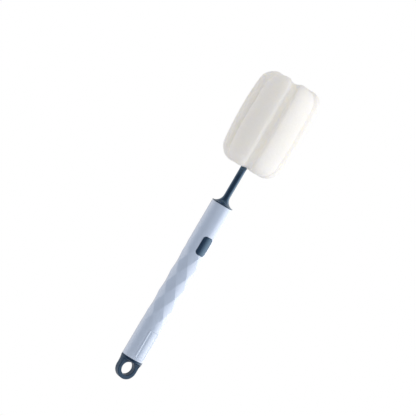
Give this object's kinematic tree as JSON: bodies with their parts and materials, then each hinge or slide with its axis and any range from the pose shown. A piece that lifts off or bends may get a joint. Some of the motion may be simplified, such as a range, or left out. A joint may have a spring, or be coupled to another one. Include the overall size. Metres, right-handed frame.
{
  "type": "bottle brush",
  "caption": "Bottle brush with a lobed foam head on a plug-in stem, a hollow facetted handle with a release button, and a hanging loop.",
  "frame": {"origin": "lowest point of the hanging loop, on the handle's axis", "axes": "+Z along the handle's axis from the hanging loop towards the sponge; -Y out of the middle of the release button and square to the loop's flat front face; +X to the right of someone who faces the button with the sponge up"},
  "size_m": [0.0506, 0.0534, 0.27],
  "materials": {
    "handle_blue": "satin pale blue",
    "navy_plastic": "satin dark blue",
    "inner_plastic": "plain moulded",
    "spring_steel": "bright spring steel",
    "white_foam": "fine open-cell foam"
  },
  "bodies": {
    "handle": {"handle_tube": "handle_blue", "handle_socket": "inner_plastic", "tail_cap": "navy_plastic", "button_spring": "spring_steel"},
    "button": {"release_button": "navy_plastic"},
    "head": {"brush_stem": "navy_plastic", "sponge_head": "white_foam", "latch_spring": "spring_steel"}
  },
  "joints": [
    {"name": "button_press", "type": "slide", "parent": "handle", "child": "button", "axis": [0, 1, 0], "range_m": [0, 0.0012], "stiffness_N_per_m": 400, "deforming": ["button_spring", "latch_spring"]},
    {"name": "head_release", "type": "slide", "parent": "handle", "child": "head", "axis": [0, 0, 1], "range_m": [0, 0.04], "deforming": ["latch_spring"]}
  ]
}
